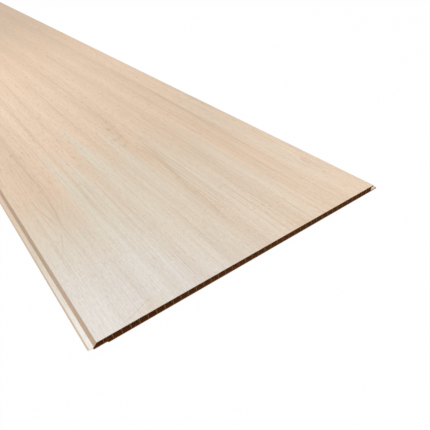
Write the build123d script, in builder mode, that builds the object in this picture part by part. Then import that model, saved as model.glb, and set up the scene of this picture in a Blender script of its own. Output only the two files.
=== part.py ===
"""Wall cladding panel: one hollow plastic extrusion, 375 mm cover width, 8 mm thick, 2.6 m long.

The panel lies on its back. X runs across it, Y along it, and Z is up out of the decor face.
The tongue is on the -X side, and the groove with its nailing lip is on the +X side.
The origin is under the middle of the panel, on the level floor that its back rests on.
"""

from build123d import *
import os

# Driving dimensions, in millimetres
panel_length = 2600.0
cover_width = 375.0  # what one panel covers, from joint to joint
thickness = 8.0
skin = 0.7  # face and back walls of the hollow section
web = 0.45  # thickness of each upright web between the cells
web_pitch = 8.75
web_count = 41
first_web = 5.8  # from the face's left edge to the middle of the first web
cell_radius = 0.35

# Tongue side: the face falls at 45 degrees to a thin tongue
bevel = 3.4
joint_gap = 2.6  # strip of tongue that still shows between two fitted panels
tongue_grip = 2.9  # part of the tongue that sits inside the neighbour's groove
tongue_root = 1.4
tongue_tip = 0.9
tongue_setback = 0.9  # the hollow body reaches this far under the tongue
relief_width = 8.4  # raised strip of the back that the neighbour's nailing lip slides under
relief_depth = 1.6

# Groove side: a short front lip over a longer nailing lip
front_lip_tip = 1.8
front_lip_root = 2.4
groove_depth = 3.4
nailing_lip = 1.3
nailing_lip_reach = 7.0  # beyond the front lip
bead_width = 1.3
bead_height = 0.6

# Corner radii of the die
edge_radius = 0.45
cove_radius = 0.6
tip_radius = 0.35
bead_radius = 0.25

# Places across the section
face_width = cover_width - bevel - joint_gap
tongue_reach = joint_gap + tongue_grip
total_width = tongue_reach + bevel + face_width + nailing_lip_reach
tongue_end = -total_width / 2
bevel_foot = tongue_end + tongue_reach
face_left = bevel_foot + bevel
body_left = bevel_foot - tongue_setback
relief_end = face_left + relief_width
face_right = face_left + face_width
groove_floor = face_right - groove_depth
lip_end = face_right + nailing_lip_reach
bead_start = lip_end - bead_width

# Heights above the back
tongue_top = thickness - bevel
tongue_underside = tongue_top - tongue_root
bead_top = nailing_lip + bead_height

# Each corner of the outline: its place across, its height and its radius
outline_corners = [
    (tongue_end, tongue_top, tip_radius),
    (bevel_foot, tongue_top, cove_radius),
    (face_left, thickness, edge_radius),
    (face_right, thickness, edge_radius),
    (face_right, thickness - front_lip_tip, tip_radius),
    (groove_floor, thickness - front_lip_root, cove_radius),
    (groove_floor, nailing_lip, cove_radius),
    (bead_start - bead_height, nailing_lip, bead_radius),
    (bead_start, bead_top, bead_radius),
    (lip_end, bead_top, bead_radius),
    (lip_end, 0, tip_radius),
    (relief_end + relief_depth, 0, cove_radius),
    (relief_end, relief_depth, cove_radius),
    (body_left, relief_depth, edge_radius),
    (body_left, tongue_underside, cove_radius),
    (tongue_end, tongue_top - tongue_tip, tip_radius),
]

# The hollow body alone, without tongue and lips: the cells are inset from it
body_corners = [
    (face_left, thickness),
    (groove_floor, thickness),
    (groove_floor, 0),
    (relief_end + relief_depth, 0),
    (relief_end, relief_depth),
    (body_left, relief_depth),
    (body_left, thickness - (face_left - body_left)),
]

far_end = Plane.XZ.offset(-panel_length / 2)
web_row_middle = face_left + first_web + web_pitch * (web_count - 1) / 2

with BuildPart() as panel:
    # The outer section, as the die leaves it
    with BuildSketch(far_end) as section:
        with BuildLine():
            FilletPolyline(
                [(across, height) for across, height, _ in outline_corners],
                radius=[radius for _, _, radius in outline_corners],
                close=True,
            )
        make_face()
    extrude(amount=panel_length)

    # The cells: the body inset by its skin, and parted by the webs
    with BuildSketch(far_end) as cells:
        with BuildLine():
            Polyline(body_corners, close=True)
        make_face()
        offset(amount=-skin, kind=Kind.INTERSECTION)
        with Locations((web_row_middle, thickness / 2)):
            with GridLocations(web_pitch, 0, web_count, 1):
                Rectangle(web, thickness, mode=Mode.SUBTRACT)
        fillet(cells.vertices(), radius=cell_radius)
    extrude(amount=panel_length, mode=Mode.SUBTRACT)

panel.part.label = "panel"

os.makedirs("parts", exist_ok=True)
export_step(panel.part, "parts/panel.step")

print("section area, mm2:", round(panel.part.volume / panel_length, 1))
print("cells:", len(cells.faces()), "overall width:", round(total_width, 2))
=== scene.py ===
"""Studio scene for the wall cladding panel.

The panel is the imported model, left in place and in shape. This script gives it its three finishes: the
printed wood-grain foil, the bare brown plastic of the back and the cells, and the sawn plastic of the cut
ends. Then it sets the floor, the light and the camera.

Names ending in _mm are millimetres, and so is every length inside a finish. The rest is in metres.
"""

import math

import bpy
from mathutils import Matrix, Vector


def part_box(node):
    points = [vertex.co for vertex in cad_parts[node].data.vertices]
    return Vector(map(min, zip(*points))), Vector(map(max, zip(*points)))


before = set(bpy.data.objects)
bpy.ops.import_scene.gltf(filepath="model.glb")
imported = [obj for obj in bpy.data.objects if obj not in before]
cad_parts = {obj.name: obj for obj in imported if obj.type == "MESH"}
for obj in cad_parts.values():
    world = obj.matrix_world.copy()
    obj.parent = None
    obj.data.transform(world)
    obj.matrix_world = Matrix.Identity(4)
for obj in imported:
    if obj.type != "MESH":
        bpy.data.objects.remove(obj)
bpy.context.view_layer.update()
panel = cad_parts["panel"]
panel_low, panel_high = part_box("panel")

MM = 0.001

# A Mix node has sockets for each kind of data, and these are the ones for colours
mix_colour_sockets = (6, 7)
mix_colour_output = 2

# Places across the section, from the panel's own edges
thickness_mm = panel_high.z / MM
tongue_end_mm = panel_low.x / MM
near_end_mm = panel_low.y / MM
nailing_lip_end_mm = panel_high.x / MM
half_length_mm = (panel_high.y - panel_low.y) / 2 / MM
tongue_reach_mm = 5.5
bevel_mm = 3.4
front_lip_mm = 1.8
nailing_lip_reach_mm = 7.0
groove_depth_mm = 3.4
first_web_in_mm = 5.8
bevel_foot_mm = tongue_end_mm + tongue_reach_mm
face_left_mm = bevel_foot_mm + bevel_mm
face_right_mm = nailing_lip_end_mm - nailing_lip_reach_mm
face_width_mm = face_right_mm - face_left_mm
groove_floor_mm = face_right_mm - groove_depth_mm
tongue_top_mm = thickness_mm - bevel_mm
front_lip_bottom_mm = thickness_mm - front_lip_mm
first_web_mm = face_left_mm + first_web_in_mm
past_the_first_web_mm = (first_web_mm + 0.5, first_web_mm + 4.0)

# How far the foil is wrapped round the panel's edges, and which way the surface faces there
foil_below_tongue_top_mm = 0.5
foil_under_the_tongue_mm = 0.4
foil_behind_the_front_lip_mm = 0.3
bare_beside_the_groove_mm = 0.6
highest_on_the_nailing_lip_mm = 2.2
least_facing_up = 0.1
most_facing_down = -0.6
least_facing_an_end = 0.5

# The camera, from the photograph's 41 webs, edges and corners
photo_width = 430
focal_length_in_pixels = 424.1
camera_place = Vector((-0.2234, -1.5451, 0.3034))
camera_aim = Vector((-0.0009, -1.2219, 0.0080))
camera_roll = math.radians(3.535)
sensor_width_mm = 36.0
nearest_seen = 0.01

# The light: an even sky, a small softbox over the face, and a large one far out in front of the near end
sky_strength = 0.457
sky_share_of_white = 1.0
top_softbox_place = Vector((-0.12, -0.55, 0.90))
top_softbox_aim = Vector((-0.12, -0.55, 0.0))
top_softbox_size = 0.40
top_softbox_power = 2.2
front_softbox_place = Vector((-0.6, -12.0, 7.9))
front_softbox_aim = Vector((0.0, -1.0, 0.0))
front_softbox_size = 17.0
front_softbox_power = 1868.0

# The floor: what the camera sees of it is nearly all plain white, and the rest shows the panel's shadow
floor_size = 40.0
floor_colour = (0.88, 0.88, 0.88, 1.0)
floor_roughness = 0.9
floor_share_of_white = 0.97
plain_white = (1.0, 1.0, 1.0, 1.0)


def from_srgb(red, green, blue):
    """A colour written as it shows on a screen, 0 to 255, as Blender's linear RGBA."""
    def linear(channel):
        c = channel / 255
        return c / 12.92 if c <= 0.04045 else ((c + 0.055) / 1.055) ** 2.4
    return (linear(red), linear(green), linear(blue), 1.0)


# The foil's colours
peach_wood = from_srgb(235, 209, 184)
deep_peach_wood = from_srgb(236, 203, 168)
beige_wood = from_srgb(224, 215, 197)
painted_light_tone = from_srgb(246, 222, 196)
painted_highlight_pale = from_srgb(231, 229, 225)
white_print_and_highlight = from_srgb(248, 246, 243)
tan_print_and_shade = from_srgb(201, 175, 149)
shaded_wood = from_srgb(190, 166, 142)
grain_and_shading_brown = from_srgb(172, 141, 109)
groove_edge_grey = from_srgb(186, 182, 172)

# The plastic's colours
core_and_shade_brown = from_srgb(94, 52, 19)
lit_core_brown = from_srgb(103, 61, 27)
drawn_line_brown = from_srgb(89, 48, 17)
painted_light_web_brown = from_srgb(106, 67, 36)
painted_light_inner_web_brown = from_srgb(154, 97, 50)
sawn_brown = from_srgb(107, 73, 45)
sawn_tongue = from_srgb(208, 194, 174)

# The print's figure. All places are from the face's left edge and from the near end.
# Beige streaks: place, share of beige, how far in each begins, and how far in it turns to peach
longest_reach_mm = 900
beige_streaks = [
    (0, 1.00, 0, 215), (20, 1.00, 0, 210), (27, 0.95, 0, 208), (31, 0.95, 0, 258), (36, 0.95, 0, 208),
    (60, 0.95, 0, 212), (66, 0.97, 0, 235), (70, 1.00, 0, 385), (75, 1.00, 0, 310), (99, 0.95, 0, 310),
    (105, 0.80, 0, 260), (117, 0.85, 0, 290), (122, 0.90, 0, 400), (132, 0.90, 0, 415),
    (140, 0.85, 0, 300), (147, 0.80, 0, 280), (154, 0.85, 0, 300), (166, 0.85, 0, 330),
    (178, 0.80, 0, 385), (187, 0.60, 0, 200), (202, 0.55, 0, 260), (208, 0.75, 0, 300),
    (226, 0.70, 0, 310), (238, 0.55, 40, 280), (258, 0.55, 40, 270), (270, 0.65, 0, 305),
    (280, 0.48, 0, 310), (288, 0.00, 40, 260), (322, 0.00, 60, 300), (330, 0.65, 60, 370),
    (350, 0.60, 60, 400), (357, 0.25, 180, 430),
]
# Tan streaks, which run the whole length: place, share of tan near the end, and share further on
tan_streaks = [
    (0, 0.19, 0.16), (14, 0.13, 0.14), (26, 0.20, 0.21), (32, 0.24, 0.25), (40, 0.25, 0.32),
    (47, 0.19, 0.18), (56, 0.31, 0.20), (62, 0.24, 0.12), (68, 0.10, 0.00), (77, 0.07, 0.00),
    (82, 0.27, 0.24), (87, 0.21, 0.06), (96, 0.09, 0.01), (105, 0.22, 0.14), (118, 0.27, 0.17),
    (125, 0.11, 0.03), (140, 0.10, 0.08), (149, 0.11, 0.17), (163, 0.25, 0.21), (170, 0.18, 0.10),
    (178, 0.13, 0.15), (191, 0.26, 0.27), (200, 0.25, 0.28), (208, 0.09, 0.21), (222, 0.06, 0.13),
    (246, 0.21, 0.27), (255, 0.31, 0.29), (264, 0.03, 0.26), (280, 0.05, 0.13), (300, 0.15, 0.25),
    (322, 0.17, 0.36), (334, 0.04, 0.18),
]
# Swellings that the grain runs round: middle, half size, and how far the grain is pushed aside
swellings = [
    ((346, 84), (7, 30), 9),
    ((194, 340), (8, 60), 12),
    ((190, 180), (6, 70), 8),
]
# Small knots: middle, half size, and share of brown
knots = [
    ((188, 376), (3.4, 8), 0.46), ((178, 334), (2.6, 5), 0.30), ((181, 307), (2.6, 5), 0.34),
    ((109, 324), (2.0, 4), 0.30), ((349, 62), (2.2, 4), 0.26), ((352, 56), (1.2, 2.5), 0.24),
]
# Drawn grain lines along the panel: where each begins and ends, its half width, and its share of brown
grain_strokes = [
    ((21, 128), (30, 170), 1.3, 0.22), ((30, 166), (22, 262), 1.4, 0.22),
    ((36, 170), (42, 262), 1.5, 0.24), ((42, 240), (38, 470), 1.8, 0.20),
    ((111, 0), (112, 70), 1.2, 0.22), ((83, 330), (88, 760), 2.4, 0.24),
    ((113, 90), (110, 210), 1.1, 0.18), ((190, 60), (196, 150), 1.5, 0.25),
    ((197, 140), (202, 330), 2.6, 0.12), ((190, 300), (200, 430), 6.5, 0.17),
    ((200, 400), (188, 560), 2.0, 0.20), ((211, 286), (211, 326), 1.5, 0.22),
    ((216, 284), (216, 328), 1.5, 0.22), ((297, 300), (294, 520), 2.0, 0.18),
    ((321, 200), (326, 540), 3.0, 0.14), ((247, 20), (246, 240), 1.2, 0.18),
    ((231, 20), (230, 150), 1.1, 0.18), ((336, 130), (337, 190), 1.4, 0.16),
    ((111, 340), (116, 820), 3.0, 0.15), ((150, 340), (154, 780), 3.0, 0.15),
    ((203, 400), (194, 820), 2.8, 0.12), ((299, 330), (302, 780), 4.0, 0.12),
    ((325, 200), (328, 820), 4.5, 0.15), ((319, 50), (320, 230), 2.5, 0.14),
    ((293, 30), (294, 230), 2.5, 0.13), ((351, 250), (350, 620), 3.0, 0.12),
    ((37, 174), (41, 234), 1.1, 0.22), ((31, 180), (25, 228), 1.1, 0.22),
    ((43, 254), (44, 302), 1.2, 0.12), ((188, 50), (191, 160), 6.5, 0.10),
    ((190, 110), (207, 300), 6.0, 0.20), ((14, 226), (13, 258), 1.0, 0.20),
    ((33, 212), (31, 256), 1.0, 0.14), ((350, 60), (353, 92), 1.0, 0.26),
    ((353, 74), (347, 116), 1.0, 0.26), ((346, 57), (340, 96), 1.0, 0.26),
    ((340, 80), (342, 112), 1.0, 0.26),
]
# Grain that runs round the knots, nearly across the panel, in the same order
cross_strokes = [
    ((24, 4), (66, 15), 0.9, 0.28), ((176, 332), (199, 341), 7.0, 0.18),
    ((182, 360), (197, 352), 6.0, 0.14), ((180, 306), (194, 318), 5.0, 0.15),
    ((186, 402), (200, 412), 6.0, 0.12),
]
# The share of a drawn line's length over which each of its ends tapers off
tapered_share = 0.3

# Halfway up a noise or round a ring, both of which go from 0 to 1
halfway = 0.5


class Nodes:
    """A node tree, filled in words that are close to those of the node editor."""

    def __init__(self, tree):
        self.nodes = tree.nodes
        self.links = tree.links

    def feed(self, socket, value):
        """Sets a socket to a number or colour, or links it to another node's output."""
        if isinstance(value, bpy.types.NodeSocket):
            self.links.new(value, socket)
        else:
            socket.default_value = value

    def math(self, operation, *values):
        node = self.nodes.new("ShaderNodeMath")
        node.operation = operation
        for socket, value in zip(node.inputs, values):
            self.feed(socket, value)
        return node.outputs[0]

    def plus(self, first, *others):
        for value in others:
            first = self.math("ADD", first, value)
        return first

    def minus(self, first, second):
        return self.math("SUBTRACT", first, second)

    def times(self, first, *others):
        for value in others:
            first = self.math("MULTIPLY", first, value)
        return first

    def size_of(self, value):
        return self.math("ABSOLUTE", value)

    def white_where_seen(self, share):
        """That share for what the camera, reflections and clear things see, and 0 for the light itself."""
        path = self.nodes.new("ShaderNodeLightPath")
        seen = path.outputs["Is Camera Ray"]
        for ray in ("Is Glossy Ray", "Is Transmission Ray"):
            seen = self.math("MAXIMUM", seen, path.outputs[ray])
        return self.times(seen, share)

    def mix_shaders(self, share, first, second, output):
        mix = self.nodes.new("ShaderNodeMixShader")
        for socket, value in zip(mix.inputs, (share, first, second)):
            self.feed(socket, value)
        self.feed(output.inputs["Surface"], mix.outputs[0])


class Recipe(Nodes):
    """A material: one Principled surface, and the nodes that feed it."""

    def __init__(self, name):
        self.material = bpy.data.materials.new(name)
        self.material.use_nodes = True
        super().__init__(self.material.node_tree)
        self.surface = self.nodes["Principled BSDF"]
        self.output = self.nodes["Material Output"]

    def split(self, vector):
        node = self.nodes.new("ShaderNodeSeparateXYZ")
        self.links.new(vector, node.inputs[0])
        return node.outputs

    def place(self):
        """Object coordinates in millimetres: across, along, up."""
        texture = self.nodes.new("ShaderNodeTexCoord")
        return [self.times(metres, 1 / MM) for metres in self.split(texture.outputs["Object"])]

    def facing(self):
        """Which way the surface faces: its normal across, along and up."""
        geometry = self.nodes.new("ShaderNodeNewGeometry")
        return self.split(geometry.outputs["True Normal"])

    def noise(self, *waves, layer=0.0, detail=2.0, roughness=0.5):
        """Noise from 0 to 1. Each wave is a place and the length of one wave there."""
        at = self.nodes.new("ShaderNodeCombineXYZ")
        at.inputs["Z"].default_value = layer
        for socket, (place, length) in zip(at.inputs, waves):
            self.feed(socket, self.times(place, 1 / length))
        node = self.nodes.new("ShaderNodeTexNoise")
        node.inputs["Scale"].default_value = 1.0
        node.inputs["Detail"].default_value = detail
        node.inputs["Roughness"].default_value = roughness
        self.links.new(at.outputs[0], node.inputs["Vector"])
        return node.outputs["Fac"]

    def fade(self, value, over, shares=(0.0, 1.0)):
        """A soft step from the first share to the second, over that stretch of the value."""
        node = self.nodes.new("ShaderNodeMapRange")
        node.interpolation_type = "SMOOTHSTEP"
        names = ("Value", "From Min", "From Max", "To Min", "To Max")
        for name, given in zip(names, (value, *over, *shares)):
            self.feed(node.inputs[name], given)
        return node.outputs["Result"]

    def fade_out(self, value, over, share=1.0):
        return self.fade(value, over, (share, 0.0))

    def blend(self, share, first, second):
        node = self.nodes.new("ShaderNodeMix")
        node.data_type = "RGBA"
        self.feed(node.inputs["Factor"], share)
        for socket, colour in zip(mix_colour_sockets, (first, second)):
            self.feed(node.inputs[socket], colour)
        return node.outputs[mix_colour_output]

    def emboss(self, height, strength, depth_mm):
        node = self.nodes.new("ShaderNodeBump")
        node.inputs["Strength"].default_value = strength
        node.inputs["Distance"].default_value = depth_mm * MM
        self.links.new(height, node.inputs["Height"])
        self.links.new(node.outputs["Normal"], self.surface.inputs["Normal"])


class WoodGrainFoil(Recipe):
    """Satin foil, printed with pale wood in long streaks, and pressed with a fine grain.

    Each step paints a colour over the wood so far, by its share at each place: the print, and in some steps
    painted light and shade.
    """

    def __init__(self):
        super().__init__("wood_grain_foil")
        x, y, _ = self.place()
        self.across = self.minus(x, face_left_mm)
        self.along = self.minus(y, near_end_mm)
        # The figure is laid out over the near half, and runs back again over the far half
        self.print_along = self.math("PINGPONG", self.along, half_length_mm)
        _, _, up = self.facing()
        self.flat = self.fade(up, over=(0.80, 0.95))
        self.face = self.times(self.flat, self.fade(self.across, over=(-1.5, -0.5)))
        self.not_face = self.minus(1.0, self.face)
        self.tongue_middle = self.times(self.fade(self.across, over=(-7.9, -7.2)),
                                        self.fade_out(self.across, over=(-3.5, -3.0)))
        self.wood = peach_wood
        self.grow_the_grain()

    def paint_over(self, colour, *shares):
        self.wood = self.blend(self.times(*shares), self.wood, colour)

    def grain_noise(self, place, width, length, **how):
        """Noise in long waves of that width and length."""
        return self.noise((place, width), (self.along, length), **how)

    def swelling(self, middle, half_size, height):
        """A smooth hill that the grain lines run round: rings on top, and a pointed arch before it."""
        x = self.times(self.minus(self.across, middle[0]), 1 / half_size[0])
        y = self.times(self.minus(self.print_along, middle[1]), 1 / half_size[1])
        squared = self.plus(self.times(x, x), self.times(y, y))
        return self.times(self.math("EXPONENT", self.times(squared, -1.0)), height)

    def stroke(self, across, along, start, end, half_width, share):
        """A thin line from start to end, in a gentle curve, with tapered ends."""
        tip = (end[1] - start[1]) * tapered_share
        middle = self.fade(along, over=(start[1], end[1]), shares=(start[0], end[0]))
        off_middle = self.size_of(self.minus(across, middle))
        line = self.fade_out(off_middle, over=(0.0, half_width))
        begun = self.fade(along, over=(start[1], start[1] + tip))
        not_ended = self.fade_out(along, over=(end[1] - tip, end[1]))
        return self.times(line, begun, not_ended, share)

    def streaks(self, stops):
        """Three values across the face, from given stops: each a place and the values there."""
        ramp = self.nodes.new("ShaderNodeValToRGB")
        ramp.color_ramp.interpolation = "EASE"
        elements = ramp.color_ramp.elements
        stops_at_hand = len(elements)
        for index, (across_mm, *values) in enumerate(stops):
            position = across_mm / face_width_mm
            element = elements[index] if index < stops_at_hand else elements.new(position)
            element.position = position
            element.color = (*values, 1.0)
        self.links.new(self.streak_place, ramp.inputs["Fac"])
        split = self.nodes.new("ShaderNodeSeparateColor")
        self.links.new(ramp.outputs["Color"], split.inputs[0])
        return split.outputs

    def grow_the_grain(self):
        """The grain wanders a little on its way along the panel, and swells round its few figures."""
        slow_drift, quick_drift = 16.0, 4.0
        drift_of_the_streaks = 0.15
        slow = self.grain_noise(self.across, width=120, length=900, detail=1.0)
        quick = self.grain_noise(self.across, width=16, length=160, detail=1.0)
        slow_shift = self.times(self.minus(slow, halfway), slow_drift)
        quick_shift = self.times(self.minus(quick, halfway), quick_drift)
        hills = [self.swelling(*one) for one in swellings]
        grain = self.plus(self.across, slow_shift, quick_shift, *hills)
        streaks = self.plus(self.across, self.times(slow_shift, drift_of_the_streaks), quick_shift)
        self.streak_place = self.times(streaks, 1 / face_width_mm)

        self.bands = self.grain_noise(grain, width=8.0, length=1200, detail=2.0)
        self.fine_lines = self.grain_noise(grain, width=1.5, length=80, detail=3.0, roughness=0.6)
        self.hairs = self.grain_noise(grain, width=2.6, length=300, layer=7.0, detail=0.0)
        self.rings = self.grain_noise(grain, width=9.0, length=700, layer=3.0, detail=1.0)
        self.dashes = self.grain_noise(grain, width=0.9, length=9, detail=2.0)
        self.specks = self.grain_noise(grain, width=1.0, length=4, layer=11.0, detail=1.0)
        self.pores = self.grain_noise(grain, width=2.0, length=16, layer=5.0, detail=1.0)
        self.clouds = self.grain_noise(self.across, width=30, length=260, detail=2.0)
        self.broken = self.minus(self.fine_lines, halfway)

    def lay_the_beige_streaks(self):
        """Each beige streak begins and turns to peach at its own places, with ragged ends."""
        ragged_start, ragged_reach = 30.0, 190.0
        stops = [(place, share, start / longest_reach_mm, reach / longest_reach_mm)
                 for place, share, start, reach in beige_streaks]
        most_beige, start, reach = self.streaks(stops)
        from_start = self.plus(self.print_along, self.times(start, -longest_reach_mm),
                               self.times(self.broken, ragged_start))
        from_reach = self.plus(self.print_along, self.times(reach, -longest_reach_mm),
                               self.times(self.broken, ragged_reach))
        begun = self.fade(from_start, over=(-40.0, -15.0))
        not_yet_peach = self.fade_out(from_reach, over=(-85.0, 85.0))
        self.paint_over(beige_wood, most_beige, self.face, begun, not_yet_peach)

    def paint_light_on_the_near_end(self):
        """Painted light: the last few centimetres at the near end are a little lighter, and so is the groove
        side.
        """
        last_part = self.fade_out(self.along, over=(10.0, 140.0))
        more_to_the_right = self.fade(self.across, over=(120.0, 300.0), shares=(0.20, 0.50))
        self.paint_over(painted_light_tone, self.face, last_part, more_to_the_right)

        very_end = self.fade_out(self.along, over=(10.0, 90.0), share=0.16)
        right_of_the_corner = self.fade(self.across, over=(40.0, 80.0))
        left_of_the_groove_side = self.fade_out(self.across, over=(190.0, 260.0))
        self.paint_over(painted_highlight_pale, self.face, very_end, right_of_the_corner, left_of_the_groove_side)

        groove_side = self.fade(self.across, over=(296.0, 330.0))
        near_part = self.fade_out(self.along, over=(180.0, 420.0), share=0.45)
        self.paint_over(painted_light_tone, self.face, groove_side, near_part)

    def paint_the_near_corner_highlight(self):
        """Painted highlight, added to the real glare of the softbox over the face: the near corner on the
        tongue side is paler and cooler, but less so below a slanting crease.
        """
        most_pale, less_below_the_crease = 0.92, 0.52
        crease_slope = 0.25
        ragged = self.times(self.broken, 50.0)
        corner_across = self.fade_out(self.plus(self.across, ragged), over=(30.0, 230.0))
        corner_reach = self.fade(self.across, over=(90.0, 160.0), shares=(180.0, 110.0))
        past_the_corner = self.plus(self.minus(self.along, corner_reach), ragged)
        corner_along = self.fade_out(past_the_corner, over=(-160.0, 10.0))
        from_the_crease = self.plus(self.along, self.times(self.across, -crease_slope))
        below_the_crease = self.times(self.fade_out(from_the_crease, over=(-4.0, 0.0)),
                                      self.fade(self.across, over=(24.0, 50.0)),
                                      self.fade_out(self.across, over=(58.0, 98.0)))
        paleness = self.minus(most_pale, self.times(below_the_crease, less_below_the_crease))
        self.paint_over(painted_highlight_pale, corner_across, corner_along, self.face, paleness)

        # Painted highlight: the corner's tip is whiter still
        corner_tip = self.fade_out(self.plus(self.across, self.along), over=(10.0, 110.0), share=0.40)
        self.paint_over(white_print_and_highlight, self.face, corner_tip)

    def colour_the_tongue(self):
        """The tongue, but for its outer edge, is almost white near the end, a painted highlight, then beige,
        and a little darker further on, a painted shade.
        """
        near_part = self.fade_out(self.along, over=(140.0, 270.0))
        nearest_part = self.fade_out(self.along, over=(-40.0, 160.0))
        further_on = self.fade(self.along, over=(20.0, 300.0), shares=(0.0, 0.28))
        self.paint_over(beige_wood, self.tongue_middle, self.flat, near_part)
        self.paint_over(white_print_and_highlight, self.tongue_middle, self.flat, nearest_part)
        self.paint_over(shaded_wood, self.tongue_middle, self.flat, further_on)

    def shade_the_edges(self):
        """Painted shade: the sloping and upright parts are a little darker, and the bevel more so further
        on. The groove side's edge is greyer.
        """
        from_tongue_to_face = self.fade(self.across, over=(-7.2, -3.4), shares=(0.60, 0.85))
        self.paint_over(shaded_wood, self.not_face, self.minus(1.0, self.tongue_middle), from_tongue_to_face)

        bevel = self.fade(self.across, over=(-3.8, -3.4))
        further_on = self.fade(self.along, over=(30.0, 220.0), shares=(0.0, 0.16))
        self.paint_over(core_and_shade_brown, self.not_face, bevel, further_on)

        # A greyer strip along the last two millimetres of the face on the groove side
        groove_edge = self.fade(self.across, over=(face_width_mm - 2.2, face_width_mm - 0.6))
        more_further_on = self.fade(self.along, over=(10.0, 110.0), shares=(0.2, 0.5))
        self.paint_over(groove_edge_grey, self.face, groove_edge, more_further_on)

    def deepen_and_shade_the_wood(self):
        """The wood is deeper in colour further on. Painted shade: it is a shade darker past the near end,
        and turns to tan towards the middle of the panel, standing in for light that falls off away from the
        near end.
        """
        towards_the_middle = self.fade(self.print_along, over=(450.0, 1100.0), shares=(0.0, 0.6))
        self.paint_over(deep_peach_wood, towards_the_middle)

        # Painted shade: a little darker past the near end
        from_here = self.fade(self.print_along, over=(90.0, 330.0), shares=(0.0, 0.08))
        to_here = self.fade(self.print_along, over=(500.0, 850.0), shares=(1.0, 0.1))
        self.paint_over(grain_and_shading_brown, self.face, self.times(from_here, to_here))

        # Painted shade: turning to tan towards the middle of the panel
        slant, cloudiness = 1.2, 500.0
        depth = self.plus(self.print_along, self.times(self.across, slant),
                          self.times(self.minus(self.clouds, halfway), cloudiness))
        self.paint_over(tan_print_and_shade, self.fade(depth, over=(800.0, 2000.0), shares=(0.0, 0.6)))

    def lay_the_tan_streaks(self):
        """Tan streaks run the whole length, with one strength near the end and one further on."""
        near_tan, far_tan, _ = self.streaks([(*stop, 0.0) for stop in tan_streaks])
        far_share = self.fade(self.print_along, over=(60.0, 330.0))
        tan = self.plus(self.times(near_tan, self.minus(1.0, far_share)), self.times(far_tan, far_share))
        stronger = self.fade(self.print_along, over=(120.0, 260.0), shares=(0.9, 1.35))
        then_weaker = self.fade(self.print_along, over=(420.0, 620.0), shares=(1.0, 0.95))
        uneven = self.fade(self.clouds, over=(0.3, 0.7), shares=(1.3, 0.9))
        self.paint_over(tan_print_and_shade, tan, self.face, self.times(stronger, then_weaker), uneven)

    def print_the_grain(self):
        """Bands, fine lines, rings, hairs and dashes, bolder further on and calm at the near corner."""
        groove_side = (260.0, 310.0)
        rings_to_a_wave = 9.0
        corner_slant = 0.8
        bolder_further_on = self.fade(self.print_along, over=(200.0, 700.0), shares=(1.0, 1.2))
        from_the_corner = self.plus(self.across, self.times(self.along, corner_slant))
        calm_corner = self.fade(from_the_corner, over=(60.0, 240.0), shares=(0.5, 1.0))
        strength = self.times(bolder_further_on, calm_corner,
                              self.fade(self.across, over=groove_side, shares=(1.0, 1.05)))

        self.paint_over(grain_and_shading_brown, self.fade(self.bands, over=(0.42, 0.70), shares=(0.0, 0.09)), strength)
        self.paint_over(grain_and_shading_brown, self.fade(self.fine_lines, over=(0.42, 0.70), shares=(0.0, 0.14)),
                        self.fade(self.across, over=groove_side, shares=(1.0, 1.15)))

        ring_turn = self.math("FRACT", self.times(self.rings, rings_to_a_wave))
        off_a_ring = self.size_of(self.minus(ring_turn, halfway))
        self.paint_over(grain_and_shading_brown, self.fade_out(off_a_ring, over=(0.0, 0.12)),
                        self.fade(self.clouds, over=(0.35, 0.65), shares=(0.06, 0.16)), strength)

        self.paint_over(grain_and_shading_brown, self.fade(self.hairs, over=(0.58, 0.68), shares=(0.0, 0.15)),
                        self.fade(self.clouds, over=(0.3, 0.6), shares=(0.3, 1.0)),
                        self.fade(self.print_along, over=(200.0, 500.0), shares=(1.0, 0.5)), strength)
        self.paint_over(grain_and_shading_brown, self.fade(self.dashes, over=(0.54, 0.66), shares=(0.0, 0.18)))

    def print_specks_and_pores(self):
        """White specks near the end, and brown pores further on."""
        specks = self.fade(self.specks, over=(0.56, 0.68))
        near_the_end = self.fade_out(self.along, over=(60.0, 260.0), share=0.30)
        self.paint_over(white_print_and_highlight, specks, near_the_end, self.face)
        pores = self.fade(self.pores, over=(0.56, 0.66))
        more_further_on = self.fade(self.along, over=(120.0, 420.0), shares=(0.06, 0.26))
        self.paint_over(grain_and_shading_brown, pores, more_further_on, self.face)

    def draw_lines_and_knots(self):
        drawn = [self.stroke(self.across, self.print_along, *one) for one in grain_strokes]
        drawn += [self.swelling(*one) for one in knots]
        drawn += [self.stroke(self.print_along, self.across, start[::-1], end[::-1], half_width, share)
                  for start, end, half_width, share in cross_strokes]
        self.paint_over(grain_and_shading_brown, self.plus(*drawn), self.face)

    def press_the_surface(self):
        """Satin, a little rougher on the fine lines, with the lines and dashes pressed in."""
        dash_height = 0.8
        roughness = self.fade(self.fine_lines, over=(0.3, 0.7), shares=(0.42, 0.54))
        self.feed(self.surface.inputs["Base Color"], self.wood)
        self.feed(self.surface.inputs["Roughness"], roughness)
        self.surface.inputs["IOR"].default_value = 1.5
        self.surface.inputs["Specular IOR Level"].default_value = 0.35
        pressed = self.plus(self.fine_lines, self.times(self.dashes, dash_height))
        self.emboss(pressed, strength=0.3, depth_mm=0.08)


def wood_grain_foil():
    foil = WoodGrainFoil()
    foil.lay_the_beige_streaks()
    foil.paint_light_on_the_near_end()
    foil.paint_the_near_corner_highlight()
    foil.colour_the_tongue()
    foil.shade_the_edges()
    foil.deepen_and_shade_the_wood()
    foil.lay_the_tan_streaks()
    foil.print_the_grain()
    foil.print_specks_and_pores()
    foil.draw_lines_and_knots()
    foil.press_the_surface()
    return foil.material


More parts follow.
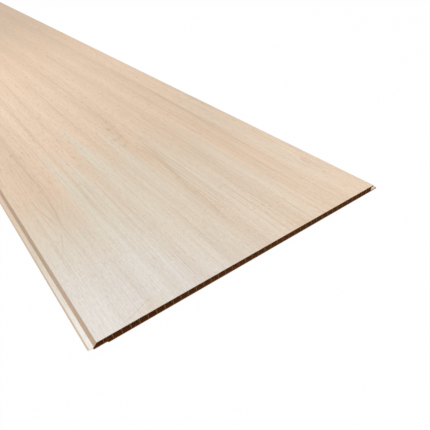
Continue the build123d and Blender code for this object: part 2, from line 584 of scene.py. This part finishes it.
def drawn_plastic():
    """The bare extrusion on the back and in the cells: brown, drawn out in faint lines along the panel, with
    painted light in the cells.
    """
    r = Recipe("drawn_plastic")
    x, y, z = r.place()
    facing_across, _, _ = r.facing()
    drawn_lines = r.noise((x, 1.4), (y, 500), (z, 1.4), detail=3.0)
    cloud = r.noise((x, 60), (y, 200), detail=3.0)
    brown = r.blend(r.fade(r.plus(drawn_lines, cloud), over=(0.8, 1.2)), core_and_shade_brown, drawn_line_brown)
    # Painted light: the cells away from the tongue are lighter
    away_from_the_tongue = r.fade(x, over=(face_left_mm + 40.0, face_left_mm + 160.0))
    brown = r.blend(away_from_the_tongue, brown, lit_core_brown)

    # Painted light: the webs' sides are lighter, all but the first, and most of all inside the cells
    from_an_end = r.minus(half_length_mm, r.size_of(y))
    past_the_first_web = r.fade(x, over=past_the_first_web_mm, shares=(0.2, 1.0))
    on_a_web = r.times(r.size_of(facing_across), past_the_first_web)
    web_side = r.blend(r.fade(from_an_end, over=(0.5, 4.0)), painted_light_web_brown, painted_light_inner_web_brown)
    brown = r.blend(on_a_web, brown, web_side)
    # Painted light: deeper inside the cells the brown is lighter
    inside_the_cells = r.fade(from_an_end, over=(2.0, 12.0), shares=(0.0, 0.40))
    r.feed(r.surface.inputs["Base Color"], r.blend(inside_the_cells, brown, grain_and_shading_brown))
    r.surface.inputs["Roughness"].default_value = 0.32
    r.emboss(drawn_lines, strength=0.2, depth_mm=0.05)
    return r.material


def sawn_plastic():
    """The cut ends: paler and rougher than the drawn plastic, with the fine marks of the saw."""
    r = Recipe("sawn_plastic")
    saw_slant = 0.35
    x, _, z = r.place()
    saw_marks = r.noise((r.plus(x, r.times(z, saw_slant)), 0.5), (z, 6), detail=3.0)
    brown = r.blend(r.fade(saw_marks, over=(0.35, 0.65)), sawn_brown, core_and_shade_brown)
    darker_by_the_bevel = r.fade_out(x, over=past_the_first_web_mm, share=0.6)
    brown = r.blend(darker_by_the_bevel, brown, core_and_shade_brown)
    on_the_tongue = r.fade_out(x, over=(bevel_foot_mm - 1.0, bevel_foot_mm - 0.3))
    r.feed(r.surface.inputs["Base Color"], r.blend(on_the_tongue, brown, sawn_tongue))
    r.surface.inputs["Roughness"].default_value = 0.75
    r.emboss(saw_marks, strength=0.4, depth_mm=0.04)
    return r.material


def is_foil(place_mm, normal):
    """True on the surfaces that the foil is wrapped over: face, bevel, tongue, and both lips' tops."""
    faces_up = normal.z > least_facing_up
    over_the_face = place_mm.z > tongue_top_mm - foil_below_tongue_top_mm and faces_up
    round_the_tongue = place_mm.x < tongue_end_mm + foil_under_the_tongue_mm and normal.z > most_facing_down
    on_the_front_lip = place_mm.x > face_right_mm - foil_behind_the_front_lip_mm
    down_the_front_lip = on_the_front_lip and place_mm.z > front_lip_bottom_mm
    past_the_groove = place_mm.x > groove_floor_mm + bare_beside_the_groove_mm
    on_the_nailing_lip = past_the_groove and place_mm.z < highest_on_the_nailing_lip_mm and faces_up
    return over_the_face or round_the_tongue or down_the_front_lip or on_the_nailing_lip


def dress_panel():
    """Gives each facet of the panel the finish that the real board has there."""
    mesh = panel.data
    mesh.materials.clear()
    for finish in (wood_grain_foil(), drawn_plastic(), sawn_plastic()):
        mesh.materials.append(finish)
    foil, drawn, sawn = range(len(mesh.materials))
    for face in mesh.polygons:
        if abs(face.normal.y) > least_facing_an_end:
            face.material_index = sawn
        else:
            face.material_index = foil if is_foil(face.center / MM, face.normal) else drawn


def add_floor():
    bpy.ops.object.select_all(action="DESELECT")
    bpy.ops.mesh.primitive_plane_add(size=floor_size, location=(0, 0, 0))
    floor = bpy.context.active_object
    floor.name = "studio_floor"
    r = Recipe("white_floor")
    r.surface.inputs["Base Color"].default_value = floor_colour
    r.surface.inputs["Roughness"].default_value = floor_roughness
    r.surface.inputs["Specular IOR Level"].default_value = 0.0
    white = r.nodes.new("ShaderNodeEmission")
    seen = r.white_where_seen(floor_share_of_white)
    r.mix_shaders(seen, r.surface.outputs[0], white.outputs[0], r.output)
    floor.data.materials.append(r.material)


def add_sky():
    world = bpy.data.worlds.new("studio")
    bpy.context.scene.world = world
    world.use_nodes = True
    sky = Nodes(world.node_tree)
    lighting = sky.nodes["Background"]
    lighting.inputs["Strength"].default_value = sky_strength
    white = sky.nodes.new("ShaderNodeBackground")
    for background in (lighting, white):
        background.inputs["Color"].default_value = plain_white
    seen = sky.white_where_seen(sky_share_of_white)
    sky.mix_shaders(seen, lighting.outputs[0], white.outputs[0], sky.nodes["World Output"])


def add_softbox(name, place, aim, size, power):
    """A square lamp at its place, turned to its aim."""
    lamp = bpy.data.lights.new(name, "AREA")
    lamp.shape = "SQUARE"
    lamp.size = size
    lamp.energy = power
    softbox = bpy.data.objects.new(name, lamp)
    bpy.context.scene.collection.objects.link(softbox)
    softbox.location = place
    softbox.rotation_mode = "QUATERNION"
    softbox.rotation_quaternion = (aim - place).to_track_quat("-Z", "Y")


def add_camera():
    view = bpy.data.cameras.new("camera")
    view.sensor_width = sensor_width_mm
    view.lens = sensor_width_mm * focal_length_in_pixels / photo_width
    view.clip_start = nearest_seen
    camera = bpy.data.objects.new("camera", view)
    bpy.context.scene.collection.objects.link(camera)
    looking = (camera_aim - camera_place).to_track_quat("-Z", "Y").to_matrix().to_4x4()
    rolled = Matrix.Rotation(-camera_roll, 4, "Z")
    camera.matrix_world = Matrix.Translation(camera_place) @ looking @ rolled
    bpy.context.scene.camera = camera


dress_panel()
add_floor()
add_sky()
add_softbox("softbox_over_the_face", top_softbox_place, top_softbox_aim, top_softbox_size, top_softbox_power)
add_softbox("softbox_in_front", front_softbox_place, front_softbox_aim, front_softbox_size,
            front_softbox_power)
add_camera()
bpy.context.scene.view_settings.view_transform = "Standard"
